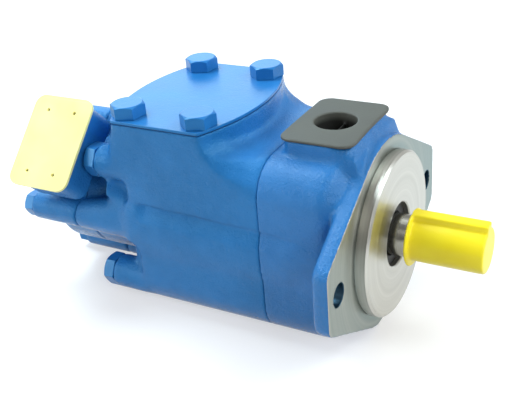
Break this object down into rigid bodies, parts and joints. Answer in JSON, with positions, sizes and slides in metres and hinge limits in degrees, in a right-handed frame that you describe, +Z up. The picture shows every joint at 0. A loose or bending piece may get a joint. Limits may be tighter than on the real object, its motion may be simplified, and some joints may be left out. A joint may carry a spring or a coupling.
{
  "type": "double hydraulic vane pump",
  "caption": "Double vane pump with a two-bolt flange mounting, keyed shaft under a plastic sleeve, a capped top outlet, a blanked top inlet and a capped slanted rear outlet.",
  "frame": {"origin": "shaft axis at the mounting face of the flange", "axes": "+X along the shaft towards its free end, +Z up through the inlet and the first outlet, +Y to the far flange hole"},
  "size_m": [0.3758, 0.216, 0.1747],
  "materials": {
    "blue_paint": "glossy paint over sand casting",
    "steel": "turned",
    "bronze": "machined",
    "grey_plastic": "matt moulded",
    "pale_yellow_plastic": "matt sheet",
    "yellow_plastic": "soft glossy plastic",
    "seal_rubber": "matt",
    "gasket_fibre": "fibre sheet"
  },
  "bodies": {
    "pump_body": {"bearing_circlip": "steel", "bearing_outer_race": "steel", "body_bolts": "blue_paint", "body_seal": "seal_rubber", "cartridge_screws": "steel", "cartridge_seals": "seal_rubber", "cover_bolts": "blue_paint", "cover_seal": "seal_rubber", "front_body": "blue_paint", "front_cam_ring": "steel", "front_inlet_plate": "bronze", "front_pressure_plate": "bronze", "inlet_blanking_plate": "blue_paint", "inlet_housing": "blue_paint", "inlet_plate_bolts": "blue_paint", "inlet_plate_gasket": "gasket_fibre", "rear_bush": "bronze", "rear_cam_ring": "steel", "rear_cover": "blue_paint", "rear_inlet_plate": "bronze", "rear_pressure_plate": "bronze", "shaft_seal": "seal_rubber"},
    "rotating_group": {"drive_shaft": "steel", "shaft_key": "steel", "shaft_circlip": "steel", "bearing_inner_race": "steel", "front_rotor": "steel", "rear_rotor": "steel", "vane_inserts": "steel"},
    "bearing_cage_set": {"bearing_balls": "steel", "bearing_cage": "bronze"},
    "shaft_sleeve_body": {"shaft_sleeve": "yellow_plastic"},
    "outlet_1_plug_body": {"outlet_1_plug": "grey_plastic"},
    "outlet_2_cap_body": {"outlet_2_cap": "pale_yellow_plastic"},
    "front_vane_01_body": {"front_vane_01": "steel"},
    "front_vane_02_body": {"front_vane_02": "steel"},
    "front_vane_03_body": {"front_vane_03": "steel"},
    "front_vane_04_body": {"front_vane_04": "steel"},
    "front_vane_05_body": {"front_vane_05": "steel"},
    "front_vane_06_body": {"front_vane_06": "steel"},
    "front_vane_07_body": {"front_vane_07": "steel"},
    "front_vane_08_body": {"front_vane_08": "steel"},
    "front_vane_09_body": {"front_vane_09": "steel"},
    "front_vane_10_body": {"front_vane_10": "steel"},
    "front_vane_11_body": {"front_vane_11": "steel"},
    "front_vane_12_body": {"front_vane_12": "steel"},
    "rear_vane_01_body": {"rear_vane_01": "steel"},
    "rear_vane_02_body": {"rear_vane_02": "steel"},
    "rear_vane_03_body": {"rear_vane_03": "steel"},
    "rear_vane_04_body": {"rear_vane_04": "steel"},
    "rear_vane_05_body": {"rear_vane_05": "steel"},
    "rear_vane_06_body": {"rear_vane_06": "steel"},
    "rear_vane_07_body": {"rear_vane_07": "steel"},
    "rear_vane_08_body": {"rear_vane_08": "steel"},
    "rear_vane_09_body": {"rear_vane_09": "steel"},
    "rear_vane_10_body": {"rear_vane_10": "steel"},
    "rear_vane_11_body": {"rear_vane_11": "steel"},
    "rear_vane_12_body": {"rear_vane_12": "steel"}
  },
  "joints": [
    {"name": "shaft_spin", "type": "hinge", "parent": "pump_body", "child": "rotating_group", "pos_m": [0, 0, 0], "axis": [1, 0, 0], "continuous": true},
    {"name": "cage_spin", "type": "hinge", "parent": "pump_body", "child": "bearing_cage_set", "pos_m": [0, 0, 0], "axis": [1, 0, 0], "continuous": true},
    {"name": "sleeve_pull", "type": "slide", "parent": "rotating_group", "child": "shaft_sleeve_body", "axis": [1, 0, 0], "range_m": [0, 0.062]},
    {"name": "outlet_1_plug_pull", "type": "slide", "parent": "pump_body", "child": "outlet_1_plug_body", "axis": [0, 0, 1], "range_m": [0, 0.035]},
    {"name": "outlet_2_cap_pull", "type": "slide", "parent": "pump_body", "child": "outlet_2_cap_body", "axis": [0, -0.7071, 0.7071], "range_m": [0, 0.03]},
    {"name": "front_vane_01_slide", "type": "slide", "parent": "rotating_group", "child": "front_vane_01_body", "axis": [0, 0.9659, 0.2588], "range_m": [0, 0.00021]},
    {"name": "front_vane_02_slide", "type": "slide", "parent": "rotating_group", "child": "front_vane_02_body", "axis": [0, 0.7071, 0.7071], "range_m": [0, 0.00173]},
    {"name": "front_vane_03_slide", "type": "slide", "parent": "rotating_group", "child": "front_vane_03_body", "axis": [0, 0.2588, 0.9659], "range_m": [0, 0.00325]},
    {"name": "front_vane_04_slide", "type": "slide", "parent": "rotating_group", "child": "front_vane_04_body", "axis": [0, -0.2588, 0.9659], "range_m": [0, 0.00325]},
    {"name": "front_vane_05_slide", "type": "slide", "parent": "rotating_group", "child": "front_vane_05_body", "axis": [0, -0.7071, 0.7071], "range_m": [0, 0.00173]},
    {"name": "front_vane_06_slide", "type": "slide", "parent": "rotating_group", "child": "front_vane_06_body", "axis": [0, -0.9659, 0.2588], "range_m": [0, 0.00021]},
    {"name": "front_vane_07_slide", "type": "slide", "parent": "rotating_group", "child": "front_vane_07_body", "axis": [0, -0.9659, -0.2588], "range_m": [0, 0.00021]},
    {"name": "front_vane_08_slide", "type": "slide", "parent": "rotating_group", "child": "front_vane_08_body", "axis": [0, -0.7071, -0.7071], "range_m": [0, 0.00173]},
    {"name": "front_vane_09_slide", "type": "slide", "parent": "rotating_group", "child": "front_vane_09_body", "axis": [0, -0.2588, -0.9659], "range_m": [0, 0.00325]},
    {"name": "front_vane_10_slide", "type": "slide", "parent": "rotating_group", "child": "front_vane_10_body", "axis": [0, 0.2588, -0.9659], "range_m": [0, 0.00325]},
    {"name": "front_vane_11_slide", "type": "slide", "parent": "rotating_group", "child": "front_vane_11_body", "axis": [0, 0.7071, -0.7071], "range_m": [0, 0.00173]},
    {"name": "front_vane_12_slide", "type": "slide", "parent": "rotating_group", "child": "front_vane_12_body", "axis": [0, 0.9659, -0.2588], "range_m": [0, 0.00021]},
    {"name": "rear_vane_01_slide", "type": "slide", "parent": "rotating_group", "child": "rear_vane_01_body", "axis": [0, 0.9659, 0.2588], "range_m": [0, 0.00015]},
    {"name": "rear_vane_02_slide", "type": "slide", "parent": "rotating_group", "child": "rear_vane_02_body", "axis": [0, 0.7071, 0.7071], "range_m": [0, 0.00123]},
    {"name": "rear_vane_03_slide", "type": "slide", "parent": "rotating_group", "child": "rear_vane_03_body", "axis": [0, 0.2588, 0.9659], "range_m": [0, 0.00231]},
    {"name": "rear_vane_04_slide", "type": "slide", "parent": "rotating_group", "child": "rear_vane_04_body", "axis": [0, -0.2588, 0.9659], "range_m": [0, 0.00231]},
    {"name": "rear_vane_05_slide", "type": "slide", "parent": "rotating_group", "child": "rear_vane_05_body", "axis": [0, -0.7071, 0.7071], "range_m": [0, 0.00123]},
    {"name": "rear_vane_06_slide", "type": "slide", "parent": "rotating_group", "child": "rear_vane_06_body", "axis": [0, -0.9659, 0.2588], "range_m": [0, 0.00015]},
    {"name": "rear_vane_07_slide", "type": "slide", "parent": "rotating_group", "child": "rear_vane_07_body", "axis": [0, -0.9659, -0.2588], "range_m": [0, 0.00015]},
    {"name": "rear_vane_08_slide", "type": "slide", "parent": "rotating_group", "child": "rear_vane_08_body", "axis": [0, -0.7071, -0.7071], "range_m": [0, 0.00123]},
    {"name": "rear_vane_09_slide", "type": "slide", "parent": "rotating_group", "child": "rear_vane_09_body", "axis": [0, -0.2588, -0.9659], "range_m": [0, 0.00231]},
    {"name": "rear_vane_10_slide", "type": "slide", "parent": "rotating_group", "child": "rear_vane_10_body", "axis": [0, 0.2588, -0.9659], "range_m": [0, 0.00231]},
    {"name": "rear_vane_11_slide", "type": "slide", "parent": "rotating_group", "child": "rear_vane_11_body", "axis": [0, 0.7071, -0.7071], "range_m": [0, 0.00123]},
    {"name": "rear_vane_12_slide", "type": "slide", "parent": "rotating_group", "child": "rear_vane_12_body", "axis": [0, 0.9659, -0.2588], "range_m": [0, 0.00015]}
  ],
  "couplings": [
    {"joint": "cage_spin", "follows": "shaft_spin", "ratio": 0.4}
  ]
}
